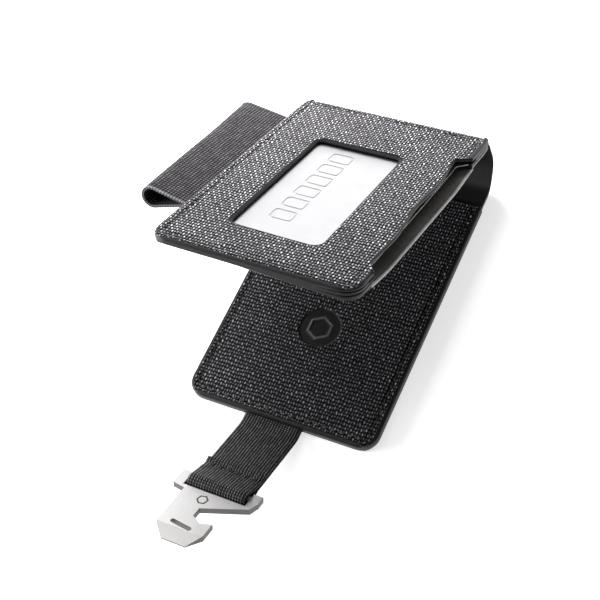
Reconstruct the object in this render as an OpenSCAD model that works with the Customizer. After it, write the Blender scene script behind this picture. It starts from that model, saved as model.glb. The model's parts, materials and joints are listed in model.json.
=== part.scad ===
// Bifold pen wallet. The lower panel lies flat, the upper panel stands half open on a leather
// spine strip, and a webbing pull strap leaves the lower panel's front edge with a steel opener.
// Origin: centre of the lower panel's underside. +X along the spine, +Y towards it, +Z up.

/* [Panels] */
// Width of both panels, along the spine
panel_w = 73; // [71:0.5:78]
// Length of the lower panel, from its front edge to the first fold line
lower_len = 112; // [108:1:118]
// Length of the upper panel, from its front edge to the second fold line
upper_len = 110; // [108:1:118]
// Radius of the two front corners of each panel
corner_r = 6.5; // [4:0.5:9]
// Thickness of the outer cover leather
cover_t = 1.2; // [1:0.1:1.6]
// Height of the spine strip between its two fold lines
spine_h = 25; // [20:1:30]
// Angle between the two panels as the wallet is modelled
open_angle = 27; // [0:1:60]

/* [Lower panel] */
// Thickness of the stiffener that holds the strap channel
stiffener_t = 1.4; // [1.4:0.1:1.8]
// Thickness of the smooth lining
lining_t = 0.4; // [0.3:0.1:0.6]
// Thickness of the canvas pocket
pocket_t = 1; // [0.8:0.1:1.4]
// Distance from the pocket's mouth to the fold line
mouth_back = 10; // [8:1:16]
// Diameter of the debossed roundel on the pocket
roundel_d = 16; // [12:1:20]

/* [Upper panel] */
// Window width and length
window_size = [34, 65]; // [30:1:70]
// Window centre, measured from the panel's centre line and from the fold line
window_at = [-1.2, -60.2]; // [-64:0.2:2]
// Corner radius of the window
window_r = 3.5; // [2:0.5:5]
// Height of the card pocket under the window
card_gap = 1.2; // [1:0.1:1.6]
// Thickness of the divider between the two card pockets
divider_t = 0.5; // [0.4:0.1:0.8]
// Height of the second card pocket
spare_gap = 1; // [0.9:0.1:1.4]
// Thickness of the inner panel
inner_t = 1.1; // [0.9:0.1:1.4]
// Depth of the finger recess in the pocket's mouth
recess_d = 3.9; // [2:0.1:4.5]
// Where the finger recess ends, measured from the fold line
recess_span = [21, 94]; // [10:1:100]

/* [Card] */
// Card width, length and thickness
card_size = [54, 85.6, 0.8]; // [0.8:0.1:86]
// Card centre, measured from the panel's centre line and from the fold line
card_at = [-0.6, -57.5]; // [-60:0.1:0]

/* [Pen loop] */
// Where the elastic loop starts and ends, measured from the fold line
loop_span = [17, 87]; // [10:1:100]
// How far the loop stands out from the panel's edge
loop_reach = 18; // [14:0.5:20]
// Outer height of the loop
loop_h = 8; // [7:0.2:10]
// Thickness of the elastic
elastic_t = 0.9; // [0.6:0.1:1.1]

/* [Strap] */
// Width of the webbing
strap_w = 22; // [18:1:24]
// Thickness of the webbing
strap_t = 1.2; // [1:0.1:1.2]
// Where the strap's centre line leaves the front edge
strap_x = -1; // [-4:0.5:4]
// Length of strap inside its channel
strap_inside = 44; // [30:1:60]
// Length that shows before the first bend, and between the two bends
strap_run = [4, 17]; // [3:1:24]
// Length from the second bend to the opener's bar
strap_end_len = 16; // [14:1:24]
// Slope of the strap above the lower panel
strap_slope = 26; // [0:1:40]

/* [Opener] */
// Thickness of the steel plate
plate_t = 2.2; // [1.8:0.1:2.6]
// Thickness of the bar that the webbing is folded round
bar_t = 2; // [1.6:0.1:2.2]
// Inner radius of the webbing's fold
fold_r = 1.8; // [1.7:0.05:2]
// Width of the frame that holds the webbing
frame_w = 30; // [28:0.5:34]
// Length of the bevelled tip
bevel_len = 5.4; // [3:0.2:6]

/* [Stitching] */
// Distance between stitches
stitch_pitch = 3.2; // [2.6:0.1:4]
// Length, width and height of one stitch
stitch_size = [2.3, 0.55, 0.15]; // [0.1:0.05:3]
// Distance from a panel's edge to its stitching
stitch_inset = 3; // [2.5:0.1:4]

/* [Hidden] */
$fn = 64;
half_w = panel_w / 2;
fold_gap = 0.3;
leaf_back = 1.6;
border = 4.5;
knuckle_r = cover_t / 2;
lower_lift = cover_t + stiffener_t;
pocket_lift = lower_lift + lining_t;
lower_top = pocket_lift + pocket_t;
pocket_hollow = 0.3;
roundel_depth = 0.3;
roundel_at = [0, lower_len / 2 - 74];
channel_w = strap_w + 0.6;
channel_spare = 14;
first_fold = [0, lower_len / 2, knuckle_r];
divider_lift = -knuckle_r - card_gap - divider_t;
inner_lift = divider_lift - spare_gap - inner_t;
strap_lift = cover_t + stiffener_t / 2;
first_bend = [strap_x, -lower_len / 2 - strap_run[0], strap_lift];
strap_knuckle = strap_t / 2;
double_t = 2 * strap_t;
fold_outer = fold_r + strap_t;
seam_from = 4.6;
seam_len = 5.6;
body_half = 10.4;
body_start = 3.6;
ear_back = 2.4;

// Rectangle that ends square at y = 0 and has two round corners at y = -l
module leaf(w, l, r) {
    translate([-w / 2, -l + r]) square([w, l - r]);
    translate([-w / 2 + r, -l]) square([w - 2 * r, l]);
    for (side = [-1, 1]) translate([side * (w / 2 - r), -l + r]) circle(r);
}

// Rectangle with four round corners, centred
module round_rect(w, l, r) {
    square([w - 2 * r, l], center = true);
    square([w, l - 2 * r], center = true);
    for (x = [-1, 1], y = [-1, 1]) translate([x * (w / 2 - r), y * (l / 2 - r)]) circle(r);
}

// Places its children in the lower panel's frame, with y = 0 at the first fold line
module at_lower(lift = 0) {
    translate([0, lower_len / 2, lift]) children();
}

// Places its children in the spine strip's frame, which rises from the first fold line
module at_spine() {
    translate(first_fold) rotate([-open_angle / 2, 0, 0]) children();
}

// Places its children in the upper panel's frame, with y = 0 at the second fold line
module at_upper() {
    at_spine() translate([0, 0, spine_h]) rotate([-open_angle / 2, 0, 0]) children();
}

// Round edge of a folding leaf, along the fold line
module knuckle(w, r) {
    rotate([0, 90, 0]) cylinder(h = w, r = r, center = true);
}

// Area cut out of the right edge to let a finger push the card
module mouth_recess(depth) {
    ramp = 3.4;
    translate([half_w, 0]) polygon([
        [1, -recess_span[0] + ramp], [0, -recess_span[0] + ramp], [-depth, -recess_span[0]],
        [-depth, -recess_span[1]], [0, -recess_span[1] - ramp], [1, -recess_span[1] - ramp]]);
}

// Row of stitches along +X, centred on the origin
module stitch_row(length) {
    count = floor(length / stitch_pitch);
    for (i = [0 : count - 1])
        translate([(i - (count - 1) / 2) * stitch_pitch - stitch_size[0] / 2, -stitch_size[1] / 2, 0])
            cube(stitch_size);
}

// Three rows of stitches round a leaf of width w that reaches from y = -back to y = -l
module leaf_stitches(w, l, back) {
    side_len = l - corner_r - back;
    for (side = [-1, 1])
        translate([side * (w / 2 - stitch_inset), -back - side_len / 2, 0])
            rotate([0, 0, 90]) stitch_row(side_len);
    translate([0, -l + stitch_inset, 0]) stitch_row(w - 2 * corner_r);
}

module cover_lower() {
    color("#2b2b2d") at_lower()
        linear_extrude(cover_t) difference() {
            leaf(panel_w, lower_len, corner_r);
            translate([-half_w, -knuckle_r - fold_gap]) square([panel_w, lower_len]);
        }
}

module lower_stiffener() {
    color("#3a3a3c") at_lower(cover_t)
        linear_extrude(stiffener_t) difference() {
            leaf(panel_w, lower_len, corner_r);
            translate([-half_w, -leaf_back]) square([panel_w, lower_len]);
            translate([strap_x - channel_w / 2, -lower_len - 1])
                square([channel_w, 1 + strap_inside + channel_spare]);
        }
}

module lower_lining() {
    color("#1c1b1d") at_lower(lower_lift)
        linear_extrude(lining_t) difference() {
            leaf(panel_w, lower_len, corner_r);
            translate([-half_w, -leaf_back]) square([panel_w, lower_len]);
        }
}

// Canvas pocket, hollow underneath and open towards the spine, with a debossed roundel
module lower_pocket() {
    color("#2e2e31") at_lower(pocket_lift) difference() {
        linear_extrude(pocket_t) difference() {
            leaf(panel_w, lower_len, corner_r);
            translate([-half_w, -mouth_back]) square([panel_w, lower_len]);
        }
        translate([-half_w + border, -lower_len + border, -1])
            cube([panel_w - 2 * border, lower_len, 1 + pocket_hollow]);
        translate([roundel_at[0], roundel_at[1] - lower_len / 2, pocket_t - roundel_depth])
            linear_extrude(1) roundel();
    }
}

// Plain ring round a hexagon
module roundel() {
    difference() {
        circle(d = roundel_d);
        circle(d = roundel_d - 2.4);
    }
    circle(d = roundel_d * 0.56, $fn = 6);
}

module lower_stitching() {
    color("#111113") at_lower(lower_top) leaf_stitches(panel_w, lower_len, mouth_back + 1);
}

module spine_cover() {
    color("#2a2a2d") at_spine() {
        knuckle(panel_w, knuckle_r);
        translate([-half_w, -knuckle_r, 0]) cube([panel_w, cover_t, spine_h - knuckle_r - fold_gap]);
    }
}

module spine_lining() {
    rise = 2.4;
    color("#1c1b1d") at_spine()
        translate([-half_w, -knuckle_r - lining_t, rise])
            cube([panel_w, lining_t, spine_h - 2 * rise]);
}

// Canvas face with the card window and the finger recess
module window_panel() {
    color("#55555a") at_upper() {
        knuckle(panel_w, knuckle_r);
        translate([0, 0, -knuckle_r]) linear_extrude(cover_t) difference() {
            leaf(panel_w, upper_len, corner_r);
            translate(window_at) round_rect(window_size[0], window_size[1], window_r);
            mouth_recess(recess_d);
        }
    }
}

// Border between two leaves, open on the right so that cards can slide in
module edge_border() {
    difference() {
        leaf(panel_w, upper_len, corner_r);
        translate([-half_w, -leaf_back]) square([panel_w, upper_len]);
        translate([-half_w + border, -recess_span[1] - 8])
            square([panel_w, recess_span[1] - recess_span[0] + 19]);
    }
}

module upper_edge_strip() {
    tail = 3.5;
    color("#3a3a3c") at_upper() {
        translate([0, 0, -knuckle_r - card_gap]) linear_extrude(card_gap) difference() {
            edge_border();
            translate([-half_w - 1, -loop_span[1]]) square([1 + tail, loop_span[1] - loop_span[0]]);
        }
        translate([0, 0, divider_lift - spare_gap]) linear_extrude(spare_gap) edge_border();
    }
}

module upper_divider() {
    color("#6b6a6d") at_upper()
        translate([0, 0, divider_lift]) linear_extrude(divider_t) difference() {
            leaf(panel_w, upper_len, corner_r);
            translate([-half_w, -leaf_back]) square([panel_w, upper_len]);
            mouth_recess(recess_d - 1.2);
        }
}

module upper_inner_panel() {
    color("#333336") at_upper()
        translate([0, 0, inner_lift]) linear_extrude(inner_t) difference() {
            leaf(panel_w, upper_len, corner_r);
            translate([-half_w, -leaf_back]) square([panel_w, upper_len]);
        }
}

// Section of the pen loop: a ring drawn out to a point at x = 0, with its centre at x = -reach + r
module teardrop(reach, r, root_t) {
    centre = reach - r;
    span = norm([centre, root_t / 2]);
    touch = atan2(root_t / 2, centre) + acos(r / span);
    translate([-centre, 0]) {
        circle(r);
        polygon([[r * cos(touch), r * sin(touch)], [centre, root_t / 2],
                 [centre, -root_t / 2], [r * cos(touch), -r * sin(touch)]]);
    }
}

module pen_loop() {
    tail = 3.5;
    color("#2f2e33") at_upper()
        translate([-half_w, -loop_span[0], -knuckle_r - card_gap / 2])
            rotate([90, 0, 0]) linear_extrude(loop_span[1] - loop_span[0]) {
                translate([0, -card_gap / 2]) square([tail, card_gap]);
                difference() {
                    teardrop(loop_reach, loop_h / 2, card_gap);
                    translate([-elastic_t, 0])
                        teardrop(loop_reach - 2 * elastic_t, loop_h / 2 - elastic_t, 0.1);
                }
            }
}

module upper_stitching() {
    color("#17171a") at_upper() translate([0, 0, knuckle_r]) {
        side_len = upper_len - corner_r - 6;
        translate([-half_w + stitch_inset, -6 - side_len / 2, 0])
            rotate([0, 0, 90]) stitch_row(side_len);
        translate([0, -upper_len + stitch_inset, 0]) stitch_row(panel_w - 2 * corner_r);
        translate([0, -stitch_inset, 0]) stitch_row(panel_w - 2 * corner_r);
    }
}

module id_card() {
    corner = 3.2;
    color("#d9d6dd") at_upper()
        translate([card_at[0], card_at[1], -knuckle_r - card_gap + 0.1])
            linear_extrude(card_size[2]) round_rect(card_size[0], card_size[1], corner);
}

module strap_root() {
    inner_end = first_bend[1] + strap_run[0] + strap_inside;
    color("#19191b")
        translate([strap_x - strap_w / 2, first_bend[1] + strap_knuckle + fold_gap,
                   strap_lift - strap_knuckle])
            cube([strap_w, inner_end - first_bend[1] - strap_knuckle - fold_gap, strap_t]);
}

// Places its children at the first bend, with the strap running along -Y
module at_bend(along = 0) {
    translate(first_bend) rotate([-strap_slope, 0, 0]) translate([0, -along, 0]) children();
}

// Flat length of webbing that starts with a round edge at the origin and runs along -Y
module webbing(length) {
    knuckle(strap_w, strap_knuckle);
    translate([-strap_w / 2, -length, -strap_knuckle]) cube([strap_w, length, strap_t]);
}

module strap_middle() {
    color("#19191b") at_bend() webbing(strap_run[1] - strap_knuckle - fold_gap);
}

// The webbing's end, folded round the opener's bar and back over itself
module strap_end() {
    color("#19191b") at_bend(strap_run[1]) {
        webbing(seam_from + seam_len);
        rotate([0, 90, 0]) linear_extrude(strap_w, center = true) difference() {
            union() {
                polygon([[-strap_knuckle - strap_t, -seam_from], [strap_knuckle, -seam_from],
                         [strap_knuckle, -seam_from - seam_len],
                         [-strap_knuckle + fold_outer, -strap_end_len],
                         [-strap_knuckle - fold_outer, -strap_end_len],
                         [-strap_knuckle - strap_t, -seam_from - seam_len]]);
                translate([-strap_knuckle, -strap_end_len]) circle(fold_outer);
            }
            translate([-strap_knuckle, -strap_end_len]) circle(fold_r);
            polygon([[-strap_knuckle, -seam_from - seam_len], [-strap_knuckle + fold_r, -strap_end_len],
                     [-strap_knuckle - fold_r, -strap_end_len]]);
        }
    }
}

// Box stitch that holds the folded webbing
module strap_stitching() {
    box = [strap_w - 4, seam_len - 2];
    color("#2c2c30") at_bend(strap_run[1])
        translate([0, -seam_from - seam_len / 2, strap_knuckle + strap_t]) {
            for (side = [-1, 1]) {
                translate([0, side * box[1] / 2, 0]) stitch_row(box[0]);
                translate([side * box[0] / 2, 0, 0]) rotate([0, 0, 90]) stitch_row(box[1]);
            }
        }
}

// Outline of the opener's body, with y = 0 at the bar and the tip towards -Y
module opener_outline() {
    shoulder = [[frame_w / 2, -1], [frame_w / 2 - 1.2, -body_start - 0.9], [-0.8, -11.1]];
    notch = [[-0.9, -14.6], [2.7, -16.8], [6.6, -15.3]];
    tip = [[6.6, -21.2], [3.4, -26.8], [-5.4, -26.8], [-body_half, -21.4]];
    neck = [[-body_half, -5.2], [-frame_w / 2, -4.4]];
    polygon(concat([[-frame_w / 2, ear_back], [frame_w / 2, ear_back]], shoulder, notch, tip, neck));
}

// Steel plate with a bar for the webbing, a hooked notch, a small slot and a bevelled tip
module opener() {
    color("#a9a7a4") at_bend(strap_run[1]) translate([0, -strap_end_len, strap_knuckle])
        difference() {
            translate([0, 0, -plate_t / 2]) linear_extrude(plate_t) difference() {
                opener_outline();
                translate([-strap_w / 2 - 0.5, bar_t / 2]) square([strap_w + 1, ear_back + 1]);
                translate([-strap_w / 2 - 0.5, -body_start]) square([strap_w + 1, body_start - bar_t / 2]);
                translate([-2.3, -19.9]) rotate(-8) round_rect(8, 1.5, 0.7);
            }
            for (side = [-1, 1]) translate([0, -26.8 + bevel_len, side * plate_t / 2])
                rotate([side * 9.5, 0, 0])
                    translate([-20, -20, side > 0 ? 0 : -5]) cube([40, 20, 5]);
        }
}

cover_lower();
lower_stiffener();
lower_lining();
lower_pocket();
lower_stitching();
spine_cover();
spine_lining();
window_panel();
upper_edge_strip();
upper_divider();
upper_inner_panel();
pen_loop();
upper_stitching();
id_card();
strap_root();
strap_middle();
strap_end();
strap_stitching();
opener();
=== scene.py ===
"""Looks for the bifold pen wallet: canvas faces, painted edges, webbing, elastic, steel and stitching.

Lengths below are in millimetres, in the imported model's frame or in one panel's own frame, and build() turns
them into metres. A panel's own frame has y = 0 at its fold line and -Y towards the panel's front edge.
"""

import json
import math

import bmesh
import bpy
import numpy as np
from mathutils import Matrix, Vector


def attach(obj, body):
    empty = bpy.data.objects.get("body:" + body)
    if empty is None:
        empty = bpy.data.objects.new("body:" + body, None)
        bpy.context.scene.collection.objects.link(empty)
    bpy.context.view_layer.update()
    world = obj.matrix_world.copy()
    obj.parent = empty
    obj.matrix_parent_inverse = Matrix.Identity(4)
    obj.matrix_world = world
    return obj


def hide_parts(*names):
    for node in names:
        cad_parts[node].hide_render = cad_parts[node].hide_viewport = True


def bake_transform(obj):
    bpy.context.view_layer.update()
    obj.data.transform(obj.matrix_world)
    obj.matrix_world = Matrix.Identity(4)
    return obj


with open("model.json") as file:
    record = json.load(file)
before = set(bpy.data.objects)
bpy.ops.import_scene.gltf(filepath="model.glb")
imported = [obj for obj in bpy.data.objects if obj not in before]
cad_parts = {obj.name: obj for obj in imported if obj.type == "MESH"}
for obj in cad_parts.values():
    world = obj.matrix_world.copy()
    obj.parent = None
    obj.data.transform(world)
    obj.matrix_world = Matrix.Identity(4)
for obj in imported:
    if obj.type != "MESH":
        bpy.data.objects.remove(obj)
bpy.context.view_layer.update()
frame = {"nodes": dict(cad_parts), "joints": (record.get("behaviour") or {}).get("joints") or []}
scene = bpy.context.scene

MM = 0.001
joints = {j["name"]: j for j in frame["joints"]}


def joint_at(name):
    """Where a hinge is, in millimetres."""
    return Vector(joints[name]["pos_m"]) / MM


def place(at, slope):
    """Frame at a point, with its -Y direction raised by slope."""
    return Matrix.Translation(Vector(at)) @ Matrix.Rotation(-slope, 4, "X")


FOLD_1, FOLD_2 = joint_at("lower_fold"), joint_at("upper_fold")
BEND_1, BEND_2, BAR = joint_at("strap_bend"), joint_at("strap_curl"), joint_at("opener_swing")
LEAN = math.atan2(FOLD_2.y - FOLD_1.y, FOLD_2.z - FOLD_1.z)
SLOPE = math.atan2(BEND_2.z - BEND_1.z, BEND_1.y - BEND_2.y)
LOWER = place((0, FOLD_1.y, 0), 0)
UPPER = place(FOLD_2, 2 * LEAN)
STRAP = place(BEND_2, SLOPE)
WORLD = Matrix.Identity(4)


def brought_into(where, points):
    """Points in metres, given in a panel's own frame and in millimetres."""
    back = np.array(where.inverted())
    return points / MM @ back[:3, :3].T + back[:3, 3]


def local_box(node, where=WORLD):
    """Lowest and highest corner of a CAD node in a panel's own frame, in millimetres."""
    co = brought_into(where, np.array([v.co for v in frame["nodes"][node].data.vertices]))
    return co.min(0), co.max(0)


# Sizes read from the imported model
COVER_LO, COVER_HI = local_box("cover_lower", LOWER)
POCKET_HI = local_box("lower_pocket", LOWER)[1]
FACE_LO, FACE_HI = local_box("window_panel", UPPER)
DIVIDER_LO, DIVIDER_HI = local_box("upper_divider", UPPER)
INNER_LO, INNER_HI = local_box("upper_inner_panel", UPPER)
LOOP_LO, LOOP_HI = local_box("pen_loop", UPPER)
CARD_LO, CARD_HI = local_box("id_card", UPPER)
ROOT_LO, ROOT_HI = local_box("strap_root")
HALF_W = COVER_HI[0]
COVER_T = COVER_HI[2] - COVER_LO[2]
LOWER_LEN = -COVER_LO[1]
UPPER_LEN = -FACE_LO[1]
LOWER_TOP = POCKET_HI[2]
STRAP_W = ROOT_HI[0] - ROOT_LO[0]
STRAP_T = ROOT_HI[2] - ROOT_LO[2]
STRAP_X = (ROOT_HI[0] + ROOT_LO[0]) / 2

# Sizes that the boxes don't give
CORNER_R = 6.5
WINDOW_AT, WINDOW_SIZE, WINDOW_R = (-1.2, -60.2), (34.0, 65.0), 3.5
RECESS_D, RECESS_BACK, RECESS_FRONT, RECESS_RAMP = 3.9, -21.0, -94.0, 3.4
ROUNDEL_AT, ROUNDEL_R = (0.0, -74.0), 8.0
STITCH_IN, STITCH_PITCH = 3.0, 3.2
CARD_AT_Y, MARKS, MARK_PITCH = -57.5, 6, 8.4
OPENER_MARK_AT, OPENER_MARK_R = (-2.0, -23.3), (2.1, 1.5)
STRAP_SEAM_Y = (-5.8, -7.4)
LOWER_CURVE, UPPER_CURVE = 6.5, 5.2  # radius of the sheet round each fold
SPINE_BULGE, BULGE_AT, BULGE_R = 4.0, 0.45, 10.0
JOINT_BELOW, JOINT_OUT = 5.5, 0.75  # where the two panels' sheets meet, from the upper fold line
EDGE_INSET = 0.7
LINING_DROP, LINING_GAP = 1.35, 0.25
DRAW_IN, DRAW_IN_RUN, RIGHT_SHARE, FOLD_RUN = 2.4, 4.4, 0.3, 1.5
SEAM_SINK, SEAM_HALF_W = 0.36, 0.62
COVER_SINK = 0.03  # keeps the cover's face just clear of the ground
RIDGE_SHARE = 0.48  # hexagon's half width, as a share of the roundel's radius
PINCH, GAPE = 2.1, 2.3  # how far the inner shell is drawn up at the left, and sags at the mouth
CREASE, FLAT_CREASE = 38, 12  # smooth shading stops at these angles


# ---- node helpers

class Nodes:
    """Short calls for building one material's node tree."""

    def __init__(self, name):
        self.material = bpy.data.materials.new(name)
        self.material.use_nodes = True
        self.tree = self.material.node_tree
        self.shader = self.tree.nodes["Principled BSDF"]
        self.uv = self.add("ShaderNodeUVMap", {}, uv_map="UVMap").outputs[0]

    def add(self, kind, inputs, **settings):
        """Node whose inputs are linked to sockets or set to constants."""
        node = self.tree.nodes.new(kind)
        for key, value in settings.items():
            setattr(node, key, value)
        for key, value in inputs.items():
            self.fill(node.inputs[key], value)
        return node

    def fill(self, socket, value):
        if hasattr(value, "is_output"):
            self.tree.links.new(value, socket)
        else:
            socket.default_value = value

    def math(self, operation, *values, clamp=False):
        inputs = dict(enumerate(values))
        return self.add("ShaderNodeMath", inputs, operation=operation, use_clamp=clamp).outputs[0]

    def plus(self, a, b):
        return self.math("ADD", a, b)

    def minus(self, a, b):
        return self.math("SUBTRACT", a, b)

    def times(self, a, b, clamp=False):
        return self.math("MULTIPLY", a, b, clamp=clamp)

    def linear(self, value, gain, offset):
        """value times gain, plus offset."""
        return self.plus(self.times(value, gain), offset)

    def wave(self, value, pitch):
        """Sine that turns half round in one pitch."""
        return self.math("SINE", self.times(value, math.pi / pitch))

    def ribs(self, value, pitch):
        """Row of rounded ribs, one to a pitch."""
        return self.math("ABSOLUTE", self.wave(value, pitch))

    def floor(self, value):
        return self.math("FLOOR", value)

    def cell(self, value, pitch):
        return self.floor(self.math("DIVIDE", value, pitch))

    def mix(self, factor, a, b):
        node = self.add("ShaderNodeMix", {"Factor": factor}, data_type="RGBA")
        colours = {s.name: s for s in node.inputs if s.type == "RGBA"}
        for key, value in (("A", a), ("B", b)):
            self.fill(colours[key], value if hasattr(value, "is_output") else (*value, 1))
        return next(s for s in node.outputs if s.type == "RGBA")

    def scaled(self, vector, scale):
        return self.add("ShaderNodeMapping", {"Vector": vector, "Scale": scale}).outputs[0]

    def split(self):
        """The UV map's two coordinates."""
        node = self.add("ShaderNodeSeparateXYZ", {0: self.uv})
        return node.outputs[0], node.outputs[1]

    def noise(self, scale, detail=2.0, over=None):
        """Noise over the UV map, or over another vector."""
        vector = self.scaled(self.uv if over is None else over, scale)
        return self.add("ShaderNodeTexNoise", {"Vector": vector, "Scale": 1.0, "Detail": detail}).outputs[0]

    def random(self, x, y, z=0.0):
        """Random value for each whole-numbered cell."""
        vector = self.add("ShaderNodeCombineXYZ", {0: x, 1: y, 2: z}).outputs[0]
        node = self.add("ShaderNodeTexWhiteNoise", {"Vector": vector}, noise_dimensions="3D")
        return node.outputs["Value"]

    def ramp(self, value, low, high):
        inputs = {"Value": value, "From Min": low, "From Max": high}
        return self.add("ShaderNodeMapRange", inputs, clamp=True).outputs[0]

    def bump(self, height, depth, strength=1.0):
        inputs = {"Height": height, "Distance": depth * MM, "Strength": strength}
        return self.add("ShaderNodeBump", inputs).outputs[0]

    def set(self, **values):
        for key, value in values.items():
            self.fill(self.shader.inputs[key.replace("_", " ")], value)


# ---- materials

WEAVE_PITCH = (1.05, 1.42)
THREAD_DRIFT = 1.7  # how far the canvas threads wander
TONE_RUN = 0.23  # how much of a thread's run of one tone each crossing takes
PLY_PITCH = 0.35


def shades(shade, low, high):
    """Darker and lighter version of a colour."""
    return tuple(c * low for c in shade), tuple(c * high for c in shade)


def canvas_material(name, gap, thread, glint):
    """Waxed plain-weave canvas: threads pass over and under. The gap colour is painted shade in the weave's
    low parts, and the glint colour a painted highlight on the crossings, stronger in broad patches.
    """
    n = Nodes(name)
    wobble = n.noise((0.25, 0.25, 1))
    u, v = n.split()
    drift = n.times(n.minus(wobble, 0.5), THREAD_DRIFT)
    u = n.math("DIVIDE", n.plus(u, drift), WEAVE_PITCH[0])
    v = n.math("DIVIDE", n.minus(v, drift), WEAVE_PITCH[1])
    both = n.times(n.wave(u, 1.0), n.wave(v, 1.0))
    warp, weft = n.plus(n.ribs(u, 1.0), both), n.minus(n.ribs(v, 1.0), both)
    weave = n.times(n.math("MAXIMUM", warp, weft), 0.5)
    over = n.math("GREATER_THAN", warp, weft)
    cell_u, cell_v = n.floor(u), n.floor(v)
    crossing = n.random(cell_u, cell_v, over)
    warp_tone = n.random(cell_u, 3.0, n.floor(n.times(v, TONE_RUN)))
    weft_tone = n.random(7.0, cell_v, n.floor(n.times(u, TONE_RUN)))
    tone = n.plus(n.times(warp_tone, over), n.times(weft_tone, n.minus(1.0, over)))
    fibre = n.noise((8, 8, 1), 3.0)
    glint_patches = n.noise((0.06, 0.06, 1), 3.0)
    # Painted shade: the gap colour fills the weave's hollows. Painted highlight: the glint colour lies on the
    # crossings' tops, stronger in broad patches of noise.
    lift = n.times(n.ramp(weave, 0.5, 0.95), n.linear(tone, 0.6, 0.4))
    painted_glint = n.times(n.ramp(weave, 0.6, 0.98), n.linear(crossing, 0.6, 0.26))
    painted_glint = n.times(painted_glint, n.linear(over, 0.65, 0.35))
    painted_glint = n.times(painted_glint, n.plus(glint_patches, 0.5), clamp=True)
    base = n.mix(painted_glint, n.mix(lift, gap, thread), glint)
    n.set(Base_Color=n.mix(n.times(n.ramp(fibre, 0.5, 0.8), 0.35), base, gap))
    n.set(Roughness=n.minus(0.65, n.times(painted_glint, 0.35)), Specular_IOR_Level=0.12)
    loose = n.plus(n.times(crossing, 0.5), n.linear(tone, 0.25, 0.6))
    n.set(Normal=n.bump(n.plus(n.times(weave, loose), n.times(fibre, 0.15)), 0.1))
    return n.material


def paint_material(name, shade, roughness=0.36):
    """Burnished edge paint, slightly uneven, over the ends of the layers."""
    n = Nodes(name)
    run = n.noise((0.5, 2.2, 1), 4.0)
    fine = n.noise((3.0, 5.0, 1), 3.0)
    n.set(Base_Color=n.mix(run, *shades(shade, 0.7, 1.35)), Specular_IOR_Level=0.32)
    n.set(Roughness=n.linear(fine, 0.2, roughness - 0.06))
    n.set(Normal=n.bump(n.plus(run, n.times(fine, 0.4)), 0.12, 0.6))
    return n.material


def leather_material(name, shade, roughness=0.48, grain=1.5):
    """Smooth lining leather with a fine pebble."""
    n = Nodes(name)
    vector = n.scaled(n.uv, (grain, grain, 1))
    cells = n.add("ShaderNodeTexVoronoi", {"Vector": vector, "Scale": 1.0}, feature="SMOOTH_F1")
    crease = n.noise((0.06, 0.35, 1), 4.0)
    pores = n.noise((6, 6, 1), 2.0)
    n.set(Base_Color=n.mix(n.plus(n.times(crease, 0.7), n.times(pores, 0.3)), *shades(shade, 0.6, 1.5)))
    n.set(Roughness=n.linear(pores, 0.22, roughness - 0.1))
    n.set(Normal=n.bump(n.plus(n.times(cells.outputs[0], 0.6), n.times(crease, 0.8)), 0.1, 0.7))
    return n.material


def webbing_material(name, gap, thread, glint, rib=1.0, pick=0.8, lean=0.8):
    """Nylon webbing: lengthwise ribs of yarn that cross slanted picks, with painted shade between the ribs
    and painted highlights on their crests.
    """
    n = Nodes(name)
    wobble = n.noise((0.4, 0.15, 1))
    u, v = n.split()
    u = n.plus(u, n.times(n.minus(wobble, 0.5), 0.5))
    twill = n.ribs(n.plus(v, n.times(u, lean)), pick)
    yarn = n.times(n.math("POWER", n.ribs(u, rib), 0.7), n.linear(twill, 0.35, 0.65))
    fibre = n.noise((11, 3, 1), 2.0)
    spot = n.random(n.cell(u, rib), n.floor(n.times(v, 1.1)))
    shine = n.times(n.ramp(yarn, 0.74, 1.0), n.linear(spot, 0.5, 0.4))
    n.set(Base_Color=n.mix(shine, n.mix(n.ramp(yarn, 0.4, 0.95), gap, thread), glint))
    n.set(Roughness=n.minus(0.58, n.times(fibre, 0.2)), Specular_IOR_Level=0.12)
    n.set(Normal=n.bump(n.plus(yarn, n.times(fibre, 0.15)), 0.14))
    return n.material


def elastic_material(name, gap, thread, glint, rib=1.1):
    """Knitted elastic: fine ribs round the loop, broken by short cross threads, with a little lint. The gap
    colour is painted shade between the ribs, and the glint colour a painted highlight on their crests, in
    cloudy patches.
    """
    n = Nodes(name)
    u, v = n.split()
    knit = n.times(n.linear(n.ribs(v, rib), 0.75, 0.25), n.linear(n.ribs(u, rib), 0.65, 0.35))
    spot = n.random(n.cell(v, rib), n.cell(u, rib))
    fuzz = n.noise((4, 4, 1), 4.0)
    cloud = n.noise((0.14, 0.14, 1), 3.0)
    base = n.mix(n.ramp(knit, 0.25, 0.9), gap, thread)
    shine = n.times(n.linear(spot, 0.4, 0.25), n.ramp(knit, 0.5, 1.0))
    base = n.mix(n.times(shine, n.plus(cloud, 0.3), clamp=True), base, glint)
    n.set(Base_Color=base, Roughness=0.8, Specular_IOR_Level=0.1)
    n.set(Normal=n.bump(n.plus(knit, n.times(fuzz, 0.4)), 0.08))
    return n.material


def brushed_material(name, shade, roughness, stretch, scratch=0.02):
    """Metal brushed along one direction of the surface."""
    n = Nodes(name)
    hair = n.noise(stretch, 5.0)
    broad = n.noise((0.09, 0.13, 1), 3.0)
    scuff = n.ramp(n.noise((0.9, 1.3, 1), 6.0), 0.6, 0.72)
    low, high = shades(shade, 0.8, 1.12)
    high = tuple(min(1, c) for c in high)
    n.set(Base_Color=n.mix(n.plus(n.times(hair, 0.65), n.times(broad, 0.35)), low, high), Metallic=1.0)
    n.set(Roughness=n.plus(n.linear(hair, 0.24, roughness - 0.12), n.times(scuff, 0.08)))
    n.set(Normal=n.bump(n.plus(hair, n.times(scuff, 0.5)), scratch))
    return n.material


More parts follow.
